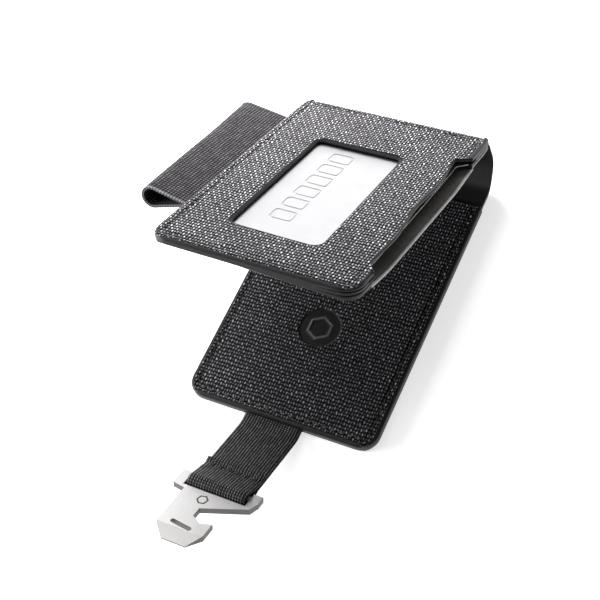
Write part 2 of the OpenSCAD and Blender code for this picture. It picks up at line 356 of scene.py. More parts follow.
def thread_material(name, shade):
    """Waxed two-ply thread."""
    n = Nodes(name)
    u, v = n.split()
    ply = n.wave(n.plus(u, v), PLY_PITCH)
    n.set(Base_Color=n.mix(n.ramp(ply, -1, 1), *shades(shade, 0.6, 1.7)), Roughness=0.42)
    n.set(Normal=n.bump(ply, 0.05))
    return n.material


# Woven materials take the colours of the gaps, the threads and the glints on them. The gap colour is painted
# shade between the threads, and the glint colour a painted highlight on their crests.
# The upper canvas is a lit copy of the canvas, with painted sheen. The lower canvas is a darker copy, painted
# as the shade under the upper panel.
CANVAS_UPPER_LIT = canvas_material(
    "canvas_upper", (0.0015, 0.0015, 0.002), (0.085, 0.083, 0.09), (0.86, 0.84, 0.89))
CANVAS_LOWER_SHADED = canvas_material(
    "canvas_lower", (0.001, 0.001, 0.0015), (0.036, 0.035, 0.039), (0.46, 0.447, 0.485))
CANVAS_COVER = canvas_material(
    "canvas_cover", (0.0015, 0.0015, 0.002), (0.07, 0.068, 0.075), (0.70, 0.69, 0.72))
WEBBING = webbing_material(
    "webbing", (0.0015, 0.0015, 0.0017), (0.011, 0.0108, 0.012), (0.34, 0.335, 0.35))
ELASTIC = elastic_material(
    "elastic", (0.0015, 0.0014, 0.0016), (0.028, 0.026, 0.029), (0.30, 0.283, 0.30))
SELVAGE = elastic_material("selvage", (0.05, 0.048, 0.053), (0.28, 0.27, 0.29), (0.6, 0.58, 0.6))
EDGE = paint_material("edge_paint", (0.0085, 0.0083, 0.0095))
# A light copy of the edge paint: a painted highlight along the divider's and the inner shell's edges.
EDGE_HIGHLIGHT = paint_material("edge_paint_highlight", (0.42, 0.42, 0.41), 0.3)
# Lighter edge paint on the roundel's ridge: a painted highlight.
RIDGE_HIGHLIGHT = paint_material("roundel_ridge_highlight", (0.10, 0.098, 0.105), 0.4)
LEATHER = leather_material("leather", (0.012, 0.012, 0.013))
LINING = leather_material("lining", (0.003, 0.003, 0.0033), 0.6)
SHELL_LINING = leather_material("shell_lining", (0.085, 0.082, 0.069), 0.6, 2.4)
PRESSED = leather_material("pressed_canvas", (0.004, 0.004, 0.0045), 0.42, 2.2)
STEEL = brushed_material("steel", (0.93, 0.905, 0.895), 0.42, (0.5, 7.0, 1), 0.03)
# A darker copy of the steel, brushed across: painted shade on the opener's slanted bevels.
STEEL_TIP_SHADED = brushed_material("steel_tip_shaded", (0.70, 0.685, 0.68), 0.4, (7.0, 0.5, 1), 0.03)
# Dark steel: painted dark reflection on the opener's side walls and bevel rounds, and painted shade on its
# mark's walls.
STEEL_EDGE_DARK_REFLECTION = brushed_material("steel_edge_dark_reflection", (0.15, 0.14, 0.135), 0.42, (2.0, 4.0, 1), 0.05)
CARD = brushed_material("card_metal", (0.66, 0.656, 0.672), 0.33, (0.25, 9.0, 1))
THREAD = thread_material("thread", (0.0035, 0.0035, 0.004))


# ---- mesh helpers

def build(name, points, faces, materials, where=WORLD, uv=None, slots=None, crease=CREASE):
    """Mesh object from points in millimetres. uv holds one pair per point, in millimetres too."""
    mesh = bpy.data.meshes.new(name)
    mesh.from_pydata([tuple(p) for p in np.asarray(points, float)], [],
                     [tuple(map(int, f)) for f in faces])
    mesh.transform(Matrix.Scale(MM, 4) @ where)
    for material in materials:
        mesh.materials.append(material)
    if slots is not None:
        mesh.polygons.foreach_set("material_index", np.asarray(slots, np.int32))
    if uv is not None:
        layer = mesh.uv_layers.new(name="UVMap")
        index = np.empty(len(mesh.loops), np.int32)
        mesh.loops.foreach_get("vertex_index", index)
        layer.data.foreach_set("uv", np.asarray(uv, np.float32)[index].ravel())
    mesh.validate()
    obj = linked(name, mesh)
    tidy(obj, crease)
    return obj


def linked(name, data):
    """Object on some data, in the scene."""
    obj = bpy.data.objects.new(name, data)
    scene.collection.objects.link(obj)
    return obj


def tidy(obj, crease=CREASE):
    """Points every normal outwards, and shades smooth up to the crease angle."""
    mesh = obj.data
    bm = bmesh.new()
    bm.from_mesh(mesh)
    bmesh.ops.recalc_face_normals(bm, faces=bm.faces)
    bm.to_mesh(mesh)
    bm.free()
    mesh.polygons.foreach_set("use_smooth", [True] * len(mesh.polygons))
    mesh.set_sharp_from_angle(angle=math.radians(crease))
    mesh.update()


def sheet_solid(name, top, bottom, materials, where=WORLD, uv=None):
    """Closed sheet between two grids of points. Materials: top face, bottom face, edges."""
    rows, cols = top.shape[:2]
    count = rows * cols
    at = np.arange(count).reshape(rows, cols)
    a, b, c, d = at[:-1, :-1], at[1:, :-1], at[1:, 1:], at[:-1, 1:]
    quads = np.stack([a, b, c, d], -1).reshape(-1, 4)
    rim = np.concatenate([at[0, :], at[1:, -1], at[-1, -2::-1], at[-2:0:-1, 0]])
    after = np.roll(rim, -1)
    sides = np.stack([rim, after, after + count, rim + count], -1)
    faces = np.concatenate([quads, quads[:, ::-1] + count, sides])
    slots = [0] * len(quads) + [1] * len(quads) + [2] * len(sides)
    points = np.concatenate([top.reshape(-1, 3), bottom.reshape(-1, 3)])
    flat = uv.reshape(-1, 2) if uv is not None else top.reshape(-1, 3)[:, :2]
    return build(name, points, faces, materials, where, np.concatenate([flat, flat]), slots)


def run_along(points):
    """Distance from a polyline's start to each of its points."""
    return np.concatenate([[0], np.cumsum(np.linalg.norm(np.diff(points, axis=0), axis=1))])


def sweep(name, path, out, profile, material, where=WORLD, up=(0, 0, 1), closed=False):
    """Solid whose section is profile, a closed list of (outwards, upwards), or one such list per path point.

    out is the outward direction, one for all the points or one for each.
    """
    path, profile = np.asarray(path, float), np.asarray(profile, float)
    out = np.broadcast_to(np.asarray(out, float), path.shape)
    profile = np.broadcast_to(profile, (len(path), *profile.shape[-2:]))
    n, m = profile.shape[:2]
    grid = path[:, None] + out[:, None] * profile[..., :1] + np.asarray(up, float) * profile[..., 1:]
    at = np.arange(n * m).reshape(n, m)
    rows = np.arange(n if closed else n - 1)
    nxt = (rows + 1) % n
    a, b = at[rows], at[nxt]
    faces = np.stack([a, b, np.roll(b, -1, 1), np.roll(a, -1, 1)], -1).reshape(-1, 4).tolist()
    if not closed:
        faces += [at[0].tolist(), at[-1][::-1].tolist()]
    uv = np.stack(np.meshgrid(run_along(path), run_along(profile[0]), indexing="ij"), -1).reshape(-1, 2)
    return build(name, grid.reshape(-1, 3), faces, [material], where, uv)


def arc(centre, r, start, end, count=10):
    """Points on an arc, angles in degrees."""
    a = np.radians(np.linspace(start, end, count))
    return np.stack([centre[0] + r * np.cos(a), centre[1] + r * np.sin(a)], -1)


def spaced(points, step=None, count=None):
    """A polyline's points again, at about an even step, or as many as count."""
    points = np.asarray(points, float)
    run = run_along(points)
    at = np.linspace(0, run[-1], count or max(2, int(round(run[-1] / step)) + 1))
    return np.stack([np.interp(at, run, points[:, k]) for k in range(points.shape[1])], -1)


def normals_2d(points, closed=False):
    """Unit normals to the right of a polyline's direction of travel."""
    if closed:
        along = np.roll(points, -1, 0) - np.roll(points, 1, 0)
    else:
        along = np.gradient(points, axis=0)
    along = along / np.linalg.norm(along, axis=1)[:, None]
    return np.stack([along[:, 1], -along[:, 0]], -1)


def in_plane(points, z=0.0):
    return np.column_stack([points, np.full(len(points), z)])


def rounded_profile(depth, low, high, r, count=6):
    """Section of a band: flat inside, two round corners outside, as (outwards, upwards)."""
    lower = arc((-r, low + r), r, -90, 0, count)
    upper = arc((-r, high - r), r, 0, 90, count)
    return np.concatenate([[(-depth, low)], lower, upper, [(-depth, high)]])


def layered_profile(depth, low, high, r, amount):
    """The same band with two shallow lines in its outer face, where its layers meet."""
    section = rounded_profile(depth, low, high, r, 7)
    span = high - low
    z = np.linspace(low + r * 0.7, high - r * 0.7, 13)
    lines = sum(np.exp(-((z - low - span * at) / 0.17) ** 2) for at in (0.4, 0.68))
    return np.concatenate([section[:5], np.stack([-0.42 * amount * lines, z], -1), section[-5:]])


def bead(r, count=12):
    """Round section."""
    return arc((0, 0), r, 0, 360 * (1 - 1 / count), count)


def leaf_path(length, right_back, left_back):
    """Runs down the right edge of a leaf, round its front and up its left edge."""
    x, y, r = HALF_W - CORNER_R, CORNER_R - length, CORNER_R
    points = np.concatenate([[(HALF_W, right_back)], arc((x, y), r, 0, -90), arc((-x, y), r, -90, -180),
                             [(-HALF_W, left_back)]])
    points = spaced(points, 1.0)
    return points, -normals_2d(points)


def apply_modifiers(obj):
    """Keeps what the modifiers make as the mesh itself."""
    dg = bpy.context.evaluated_depsgraph_get()
    dg.update()
    mesh = bpy.data.meshes.new_from_object(obj.evaluated_get(dg))
    obj.modifiers.clear()
    obj.data = mesh


def cut(obj, *cutters, crease=CREASE):
    """Takes the cutters out of obj. The cut faces keep the cutters' material."""
    for cutter in cutters:
        for material in cutter.data.materials:
            if material.name not in obj.data.materials:
                obj.data.materials.append(material)
        modifier = obj.modifiers.new("cut", "BOOLEAN")
        modifier.operation, modifier.solver, modifier.object = "DIFFERENCE", "EXACT", cutter
        apply_modifiers(obj)
        bpy.data.objects.remove(cutter)
    tidy(obj, crease)


def prism(name, outline, low, high, material, where=WORLD):
    """Upright prism on an outline, given as (x, y) points."""
    outline = np.asarray(outline, float)
    n = len(outline)
    points = np.concatenate([in_plane(outline, low), in_plane(outline, high)])
    faces = [list(range(n))[::-1], list(range(n, 2 * n))]
    faces += [[i, (i + 1) % n, n + (i + 1) % n, n + i] for i in range(n)]
    return build(name, points, faces, [material], where, points[:, :2] + points[:, 2:] * 0.7)


def round_rect(centre, size, r, count=8):
    """Outline of a rectangle with round corners, counter-clockwise."""
    x, y = size[0] / 2 - r, size[1] / 2 - r
    corners = [(x, y, 0), (-x, y, 90), (-x, -y, 180), (x, -y, 270)]
    return np.concatenate([arc((a, b), r, start, start + 90, count) for a, b, start in corners]) + centre


def ring_prism(name, outer, inner, low, high, material, where=WORLD):
    """Upright prism between two outlines that have the same number of points."""
    n = len(outer)
    points = np.concatenate([in_plane(outline, z) for z in (low, high) for outline in (outer, inner)])
    faces = []
    for i in range(n):
        j = (i + 1) % n
        faces += [[i, j, n + j, n + i], [2 * n + i, 3 * n + i, 3 * n + j, 2 * n + j],
                  [i, 2 * n + i, 2 * n + j, j], [n + i, n + j, 3 * n + j, 3 * n + i]]
    return build(name, points, faces, [material], where, points[:, :2])


def box_outline(x0, y0, x1, y1):
    return [(x0, y0), (x1, y0), (x1, y1), (x0, y1)]


# ---- bent panel sheets

def unit(vector):
    return vector / np.linalg.norm(vector)


def bent_path(points, r, step=0.6):
    """Y-Z polyline of three points, its middle corner rounded, with even steps."""
    a, corner, b = (np.asarray(p, float) for p in points)
    to_a, to_b = unit(a - corner), unit(b - corner)
    half = math.acos(np.clip(to_a @ to_b, -1, 1)) / 2
    middle = corner + unit(to_a + to_b) * r / math.sin(half)
    reach = r / math.tan(half)
    start, end = corner + to_a * reach, corner + to_b * reach
    s0, s1 = start - middle, end - middle
    turn = math.acos(np.clip(s0 @ s1 / r ** 2, -1, 1))
    sign = math.copysign(1, s0[0] * s1[1] - s0[1] * s1[0])
    a0 = math.atan2(s0[1], s0[0])
    bend = arc(middle, r, math.degrees(a0), math.degrees(a0 + sign * turn), 16)
    return spaced(np.concatenate([[a], bend, [b]]), step)


def half_width(s, inset=0.0):
    """Half the width of a leaf at a distance s from its front edge."""
    r = CORNER_R - inset
    near = np.clip(r - s, 0, r)
    return HALF_W - inset - r + np.sqrt(np.maximum(r * r - near * near, 0))


def waves(x, s):
    """Slow unevenness of hand-made leather, between about -1 and 1."""
    return (0.5 * np.sin(0.11 * x + 0.07 * s + 0.8) + 0.3 * np.sin(0.23 * s - 0.13 * x)
            + 0.2 * np.sin(0.31 * x + 0.19 * s + 2.1))


def groove(edge):
    """A sewn edge: the thread pulls the canvas down, and the border rolls over outside it."""
    seam = np.exp(-((edge - STITCH_IN) / SEAM_HALF_W) ** 2)
    ridge = np.exp(-((edge - STITCH_IN * 0.52) / 0.75) ** 2)
    lip = np.clip(1 - (edge - EDGE_INSET) / 1.2, 0, 1) ** 2
    return -SEAM_SINK * seam + 0.08 * ridge - 0.3 * lip


def sewn_relief(x, s):
    """Height of the lower pocket's face, sewn on both sides and at the front."""
    w = half_width(s)
    return 0.07 * waves(x, s) + groove(np.minimum(w - np.abs(x), s + 0 * x))


def window_relief(x, s):
    """Height of the windowed face: sewn like the pocket, but loose and lifted at its right edge's mouth."""
    w = half_width(s)
    y = s - UPPER_LEN
    mouth = smooth(RECESS_FRONT - 4, RECESS_FRONT, y) * (1 - smooth(RECESS_BACK, RECESS_BACK + 4, y))
    left = groove(np.minimum(w + x, s + 0 * x))
    right = groove(np.minimum(w - x, s + 0 * x)) * (1 - mouth)
    along = np.sin(math.pi * np.clip(-y / (UPPER_LEN + 4), 0, 1)) ** 2
    lift = 0.9 * mouth * smooth(8, HALF_W - 4, x) * along
    fade = np.maximum(1 - smooth(-5, 0, y), 0.3)
    back = -0.3 * np.exp(-((y + 4.5) / SEAM_HALF_W) ** 2) * (1 - smooth(HALF_W - 4, HALF_W - 3, np.abs(x)))
    return (0.07 * waves(x, s) + np.minimum(left, right)) * fade + lift + back


def smooth(low, high, value):
    """Eased step from 0 at low to 1 at high."""
    t = np.clip((value - low) / (high - low), 0, 1)
    return t * t * (3 - 2 * t)


def drawn_in(past_fold):
    """How much narrower a leaf is near its fold, where its corners are rounded off."""
    return DRAW_IN * np.exp(-(past_fold / DRAW_IN_RUN) ** 2)


def bent_sheet(name, path, thickness, materials, inset, side, mitre, relief, columns=74,
               front_round=True, fold_run=1e6):
    """Sheet across the panel's width along a Y-Z path. side is +1 if its first face is on the path's right.

    mitre is the first face's direction at the path's end, where the sheet meets the next one. fold_run is
    how far along the sheet its corners draw in, at a fold. relief gives the first face's height.
    """
    s = run_along(path) + inset
    w = half_width(s, inset) if front_round else np.full(len(s), HALF_W - inset)
    x = np.linspace(-1, 1, columns)[None] * w[:, None]
    x = x * (1 - np.where(x < 0, 1, RIGHT_SHARE) * drawn_in(s - fold_run)[:, None] / w[:, None])
    normal = normals_2d(path) * side
    normal[-1] = mitre / (mitre @ normal[-1])
    rise = thickness / 2 + relief(x, s[:, None])

    def face(height):
        yz = path[:, None] + normal[:, None] * height[..., None]
        return np.concatenate([x[..., None], yz], -1)

    uv = np.stack([x, np.broadcast_to(s[:, None], x.shape)], -1)
    return sheet_solid(name, face(rise), face(np.full_like(x, -thickness / 2)), materials, uv=uv)


# Points and directions in the Y-Z plane: the panels' front edges, the fold lines and the bulging spine
front_1 = np.array([FOLD_1.y - LOWER_LEN, FOLD_1.z])
fold_1 = np.array([FOLD_1.y, FOLD_1.z])
fold_2 = np.array([FOLD_2.y, FOLD_2.z])
toward_front = np.array([-math.cos(2 * LEAN), math.sin(2 * LEAN)])
front_2 = fold_2 + toward_front * UPPER_LEN
spine_up = unit(fold_2 - fold_1)
spine_in = np.array([-spine_up[1], spine_up[0]])
mid_spine = fold_1 + (fold_2 - fold_1) * BULGE_AT - spine_in * SPINE_BULGE
spine_joint = fold_2 - spine_up * JOINT_BELOW - spine_in * JOINT_OUT
joint_up = unit(unit(spine_joint - mid_spine) + unit(fold_2 - spine_joint))
joint_in = np.array([-joint_up[1], joint_up[0]])


def over_bulge(start, corner, middle, joint, r):
    """Path from a panel round its fold and over the spine's bulge, to the other panel's sheet."""
    halfway = (corner + middle) / 2
    return np.concatenate([bent_path((start, corner, halfway), r),
                           bent_path((halfway, middle, joint), BULGE_R)[1:]])


def lower_panel():
    """Everything that rides on the lower body, and the spine's sheets."""
    path = over_bulge(front_1 + [EDGE_INSET, 0], fold_1, mid_spine, spine_joint, LOWER_CURVE)
    cover = bent_sheet("cover_and_spine", path, COVER_T, [CANVAS_COVER, LINING, EDGE], EDGE_INSET, 1,
                       -joint_in, lambda x, s: np.minimum(sewn_relief(x, s), 0) - COVER_SINK)
    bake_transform(cover)
    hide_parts("cover_lower", "spine_cover")

    lining_z = LOWER_TOP - LINING_DROP
    rise = lining_z - FOLD_1.z
    off = COVER_T / 2 + LINING_GAP
    corner = fold_1 + [rise * math.tan(LEAN) - off / math.cos(LEAN), rise]
    start = (FOLD_1.y + POCKET_HI[1] - 30, lining_z)
    path = over_bulge(start, corner, mid_spine + spine_in * off, spine_joint + joint_in * off + joint_up * 3,
                      LOWER_CURVE - 1.5)
    lining = bent_sheet("lower_lining_sheet", path, 0.4, [LINING, LINING, EDGE], LINING_GAP, -1, joint_in,
                        lambda x, s: 0.06 * waves(x, s), 30, front_round=False)
    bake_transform(lining)
    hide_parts("lower_lining", "spine_lining")

    mouth = POCKET_HI[1]
    rows = np.linspace(EDGE_INSET, LOWER_LEN + mouth, 260)
    x = np.linspace(-1, 1, 190)[None] * half_width(rows, EDGE_INSET)[:, None]
    s = np.broadcast_to(rows[:, None], x.shape)
    y = s - LOWER_LEN
    top = LOWER_TOP + sewn_relief(x, s) + roundel_relief(x, y)
    under = np.full_like(x, LOWER_TOP - 0.95)
    face = sheet_solid("pocket_face", np.stack([x, y, top], -1), np.stack([x, y, under], -1),
                       [CANVAS_LOWER_SHADED, LINING, EDGE, PRESSED, RIDGE_HIGHLIGHT], LOWER, np.stack([x, s], -1))
    mark_roundel(face)
    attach(face, "lower")
    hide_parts("lower_pocket")

    path = spaced([(HALF_W - 0.5, mouth), (0.5 - HALF_W, mouth)], 2.0)
    hem = sweep("pocket_hem", in_plane(path, LOWER_TOP - 0.5), (0, 1, 0), bead(0.52), EDGE, LOWER)

    path, out = leaf_path(LOWER_LEN, mouth, mouth)
    band = sweep("lower_edge", in_plane(path), in_plane(out),
                 rounded_profile(1.5, 0.05, LOWER_TOP - 0.02, 1.1), EDGE, LOWER)
    slot_z, half_h, half_w = (ROOT_LO[2] + ROOT_HI[2]) / 2, 0.78, STRAP_W / 2 + 0.5
    opening = box_outline(STRAP_X - half_w, -LOWER_LEN - 3, STRAP_X + half_w, -LOWER_LEN + 4)
    cut(band, prism("strap_slot", opening, slot_z - half_h, slot_z + half_h, LINING, LOWER))
    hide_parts("lower_stiffener")
    for trim in (hem, band):
        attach(trim, "lower")


def in_roundel(x, y):
    """Depth inside the roundel's rim, and distance from the line of its hexagon."""
    dx, dy = x - ROUNDEL_AT[0], y - ROUNDEL_AT[1]
    flats = [np.abs(dx * math.cos(a) + dy * math.sin(a)) for a in np.radians((0, 60, 120))]
    return ROUNDEL_R - np.hypot(dx, dy), np.max(flats, axis=0) - ROUNDEL_R * RIDGE_SHARE


def roundel_relief(x, y):
    """Debossed disc with a raised hexagon outline in it."""
    depth, off_line = in_roundel(x, y)
    pressed = np.clip(depth / 0.5, 0, 1)
    return -0.32 * pressed + 0.26 * np.exp(-(off_line / 0.42) ** 2) * pressed


def mark_roundel(face):
    """Gives the pressed floor of the roundel its own smooth material, and its ridge a lighter one, a painted
    highlight.
    """
    polygons = face.data.polygons
    centres, slots = np.empty(3 * len(polygons), np.float32), np.empty(len(polygons), np.int32)
    polygons.foreach_get("center", centres)
    polygons.foreach_get("material_index", slots)
    at = brought_into(LOWER, centres.reshape(-1, 3).astype(float))
    depth, off_line = in_roundel(at[:, 0], at[:, 1])
    marked = (slots == 0) & (depth > 0.2)
    slots[marked] = np.where(np.abs(off_line) > 0.38, 3, 4)[marked]
    polygons.foreach_set("material_index", slots)


# ---- upper panel

def mouth_x(y):
    """Where the canvas ends along the finger recess: it tapers to the back, and waves a little."""
    t = (y - RECESS_BACK) / (RECESS_FRONT - RECESS_BACK)
    return HALF_W - RECESS_D - 0.7 + 2.1 * t - 0.6 * np.cos(4 * math.pi * t)


def recess_outline():
    """Finger recess in the right edge, as a closed outline."""
    back, front, beyond = RECESS_BACK + RECESS_RAMP, RECESS_FRONT - RECESS_RAMP, HALF_W + 2
    y = np.linspace(RECESS_BACK, RECESS_FRONT, 36)
    return [(beyond, back), (HALF_W, back), *zip(mouth_x(y), y), (HALF_W, front), (beyond, front)]


def upper_panel():
    """The windowed canvas face and the edge band round it, with their rims."""
    face_z = (FACE_LO[2] + FACE_HI[2]) / 2
    path = bent_path((front_2 - toward_front * EDGE_INSET, fold_2, spine_joint), UPPER_CURVE, 0.55)
    face = bent_sheet("window_face", path, COVER_T, [CANVAS_UPPER_LIT, LINING, EDGE], EDGE_INSET, -1, -joint_in,
                      window_relief, 150, fold_run=UPPER_LEN + FOLD_RUN)
    window = round_rect(WINDOW_AT, WINDOW_SIZE, WINDOW_R)
    cut(face, prism("window_cut", window, face_z - 3, face_z + 3, EDGE, UPPER),
        prism("recess_cut", recess_outline(), face_z - 1.5, face_z + 4, EDGE, UPPER))
    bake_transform(face)
    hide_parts("window_panel")

    # The rim is widest and darkest at the window's left and back: there it is a dark band of painted shadow,
    # where the canvas shades the card
    shadow_share = np.maximum(smooth(2, 6, WINDOW_AT[0] - window[:, 0] - 8),
                      smooth(2, 6, window[:, 1] - WINDOW_AT[1] - 24))
    sections = [bead(0.56) * [0.6 + 1.7 * share, 1] - [0, 0.05] for share in shadow_share]
    rim = sweep("window_rim_and_shadow", in_plane(window, face_z - 0.06), in_plane(-normals_2d(window, True)), sections,
                LINING, UPPER, closed=True)

    edge = spaced(recess_outline()[1:-1], 0.8)
    lip = sweep("mouth_rim", in_plane(edge, face_z - 0.03), in_plane(-normals_2d(edge)),
                bead(0.57) * [0.6, 1], EDGE, UPPER)

    bottom, top = INNER_LO[2], FACE_HI[2]
    back = -1.2
    points, out = leaf_path(UPPER_LEN, RECESS_FRONT - RECESS_RAMP, back)
    points[:, 0] += (points[:, 0] < 0) * drawn_in(points[:, 1] - FOLD_RUN)
    low = bottom + pinch(points[:, 0], points[:, 1])
    layers = smooth(22, 34, points[:, 0])
    sections = [layered_profile(1.6, z, top - 0.1, 1.15, amount) for z, amount in zip(low, layers)]
    band = sweep("upper_edge", in_plane(points), in_plane(out), sections, EDGE, UPPER)
    cut(band, card_way())
    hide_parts("upper_edge_strip")
    short = spaced([(HALF_W, back), (HALF_W, RECESS_BACK + RECESS_RAMP)], 1.0)
    short[:, 0] -= RIGHT_SHARE * drawn_in(short[:, 1] - FOLD_RUN)
    heel = sweep("upper_edge_heel", in_plane(short), (1, 0, 0),
                 layered_profile(1.6, bottom, top - 0.02, 1.25, 1.0), LEATHER, UPPER)
    cut(heel, card_way())
    for trim in (rim, lip, band, heel):
        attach(trim, "upper")


def card_way():
    """The slit in the right edge that the card slides out through, a little longer than the finger recess."""
    return prism("card_way", box_outline(CARD_HI[0] - 2, CARD_LO[1] - 0.5, HALF_W + 3, CARD_HI[1] + 0.5),
                 CARD_LO[2] - 0.12, CARD_HI[2] + 0.12, LINING, UPPER)


def pinch(x, y):
    """How much thinner the upper panel is where its layers are sewn together: most on the left."""
    left = PINCH * (1 - smooth(-HALF_W, -HALF_W + 20, x))
    front = np.interp(x, [-HALF_W, -5, 28, HALF_W], [PINCH, 1.85, 0.3, 0.0])
    return np.maximum(left, front * (1 - smooth(0, 16, y + UPPER_LEN)))


def shell_sag(x, y):
    """How far the inner shell gapes at the mouth: most along the middle of the right edge."""
    along = smooth(-UPPER_LEN + 2, RECESS_FRONT + 12, y) * (1 - smooth(-34, -9, y))
    across = np.clip((x + HALF_W * 0.1) / (HALF_W * 1.1), 0, 1)
    return -GAPE * along * across ** 2 + pinch(x, y)


def divider_and_shell():
    """The two layers under the card: the divider between its pockets and the gaping inner shell."""
    z = (DIVIDER_LO[2] + DIVIDER_HI[2]) / 2
    rows = -np.linspace(1.8, UPPER_LEN - 1.0, 120)
    ends = [RECESS_FRONT - RECESS_RAMP, RECESS_FRONT, RECESS_BACK, RECESS_BACK + RECESS_RAMP]
    depth = np.interp(rows, ends, [0.6, RECESS_D - 0.5, RECESS_D + 0.1, 0.6])
    half = half_width(UPPER_LEN + rows, 0.6) - drawn_in(rows - FOLD_RUN)
    share = np.linspace(0, 1, 40)[None]
    x = -half[:, None] + (2 * half - depth)[:, None] * share
    y = np.broadcast_to(rows[:, None], x.shape)
    z = z + shell_sag(x, y) * 0.35
    # The divider's edges carry the painted highlight.
    divider = sheet_solid("card_divider", np.stack([x, y, z + 0.22], -1), np.stack([x, y, z - 0.22], -1),
                          [SHELL_LINING, SHELL_LINING, EDGE_HIGHLIGHT], UPPER)
    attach(divider, "upper")
    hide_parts("upper_divider")

    low, high = INNER_LO[2], INNER_HI[2]
    rows = -np.linspace(1.2, UPPER_LEN - 0.9, 150)
    half = half_width(UPPER_LEN + rows, 0.55) - drawn_in(rows - FOLD_RUN)
    x = half[:, None] * np.linspace(-1, 1, 80)[None]
    y = np.broadcast_to(rows[:, None], x.shape)
    sag = shell_sag(x, y)
    shell = sheet_solid("inner_shell", np.stack([x, y, high - 0.05 + sag], -1),
                        np.stack([x, y, low + 0.05 + sag], -1), [SHELL_LINING, LEATHER, EDGE], UPPER)
    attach(shell, "upper")
    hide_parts("upper_inner_panel")

    y = spaced([(0, RECESS_BACK + RECESS_RAMP + 1), (0, RECESS_FRONT - RECESS_RAMP - 1)], 1.0)[:, 1]
    path = np.stack([np.full_like(y, HALF_W - 0.5), y, (low + high) / 2 + shell_sag(HALF_W - 0.5, y)], -1)
    # The shell's rim carries the painted highlight.
    lip = sweep("shell_rim", path, (1, 0, 0), bead(0.56) * [0.9, 1], EDGE_HIGHLIGHT, UPPER)
    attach(lip, "upper")


# ---- threads

def stitches(name, runs, z, where, body, node, size=(1.25, 0.34, 0.24)):
    """One mesh of separate stitches at a height z. runs holds (start, end) lines in a panel's own frame."""
    ring, steps = 8, 7
    t = np.linspace(0, math.pi, steps)
    a = np.linspace(0, 2 * math.pi, ring, endpoint=False)
    girth = np.sin(t) ** 0.6
    one = np.stack([
        np.broadcast_to(-size[0] * np.cos(t)[:, None], (steps, ring)),
        size[1] * girth[:, None] * np.cos(a)[None],
        size[2] * girth[:, None] * np.sin(a)[None] - 0.12 * np.cos(t)[:, None] ** 2], -1).reshape(-1, 3)
    at = np.arange(steps * ring).reshape(steps, ring)
    quads = np.stack([at[:-1], at[1:], np.roll(at[1:], -1, 1), np.roll(at[:-1], -1, 1)], -1).reshape(-1, 4)
    points, faces, uvs = [], [], []
    for start, end in np.array(runs, float):
        length, way = np.linalg.norm(end - start), unit(end - start)
        count = int(length // STITCH_PITCH)
        for i in range(count):
            centre = start + way * (length / 2 + (i - (count - 1) / 2) * STITCH_PITCH)
            turned = one[:, :1] * way + one[:, 1:2] * np.array([-way[1], way[0]])
            faces.append(quads + len(points) * len(one))
            points.append(np.column_stack([turned + centre, one[:, 2] + z]))
            uvs.append(one[:, :2] + i)
    obj = build(name, np.concatenate(points), np.concatenate(faces), [THREAD], where, np.concatenate(uvs))
    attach(obj, body)
    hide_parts(node)


def seams():
    """The seams round the lower pocket and the windowed face. The card mouth has none."""
    w, gap, sunk = HALF_W - STITCH_IN, 1.2, 0.1
    front, back = -LOWER_LEN + STITCH_IN, POCKET_HI[1] - 1.5
    stitches("pocket_seam", [((-w, back), (-w, front + gap)), ((w, back), (w, front + gap)),
                             ((-w + gap, front), (w - gap, front))],
             LOWER_TOP - sunk, LOWER, "lower", "lower_stitching")
    front = -UPPER_LEN + STITCH_IN
    stitches("window_seam", [((-w, -5), (-w, front + gap)), ((-w + gap, front), (w - gap, front)),
                             ((-w + gap, -4.5), (w - gap, -4.5)), ((w, front + gap), (w, RECESS_FRONT - 3)),
                             ((w, RECESS_BACK + 4), (w, -5))],
             FACE_HI[2] - sunk, UPPER, "upper", "upper_stitching")


# ---- pen loop

def pen_loop():
    """Elastic band folded into a teardrop sleeve, its two ends sewn into the panel's left edge."""
    thick = 0.85
    r = (LOOP_HI[2] - LOOP_LO[2]) / 2 - thick / 2
    z = (LOOP_HI[2] + LOOP_LO[2]) / 2
    root, tail, drop = 1.6, 0.46, 0.45
    y = np.linspace(LOOP_LO[1], LOOP_HI[1], 90)
    steps = 72
    middle, outward, lengths = [], [], []
    for t in np.linspace(0, 1, len(y)):
        reach = np.interp(t, [0, 1], [17.2, 19.6]) + 0.15 * math.sin(7 * t)
        flat = np.interp(t, [0, 0.5, 1], [0.99, 0.9, 0.93]) + 0.01 * math.sin(17 * t)
        centre = (-HALF_W - reach + r + thick / 2, z - drop)
        edge = -HALF_W - 0.6
        touch = math.degrees(math.acos(r / (edge - centre[0])))
        bend = arc(centre, r, touch, 360 - touch, 40)
        bend[:, 1] = centre[1] + (bend[:, 1] - centre[1]) * flat
        section = np.concatenate([[(-HALF_W + root, z + tail), (edge, z + tail)], bend,
                                  [(edge, z - tail), (-HALF_W + root, z - tail)]])
        lengths.append(np.linspace(0, run_along(section)[-1], steps))
        middle.append(spaced(section, count=steps))
        outward.append(normals_2d(middle[-1]))
    middle, outward, lengths = np.array(middle), np.array(outward), np.array(lengths)
    along = np.broadcast_to(y[:, None], lengths.shape)

    def skin(offset):
        moved = middle + outward * offset
        return np.stack([moved[..., 0], along, moved[..., 1]], -1)

    loop = sheet_solid("elastic_loop", skin(-thick / 2), skin(thick / 2), [ELASTIC, ELASTIC, SELVAGE], UPPER,
                       np.stack([lengths, along], -1))
    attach(loop, "upper")
    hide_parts("pen_loop")
    for tag, row in (("front", 0), ("back", -1)):
        line = np.insert(middle[row], 1, y[row], axis=1)
        outs = np.insert(-outward[row], 1, 0, axis=1)
        hem = sweep("elastic_hem_" + tag, line, outs, bead(0.5, 10) * [1.1, 0.7], SELVAGE, UPPER,
                    up=(0, 1, 0))
        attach(hem, "upper")


# ---- strap

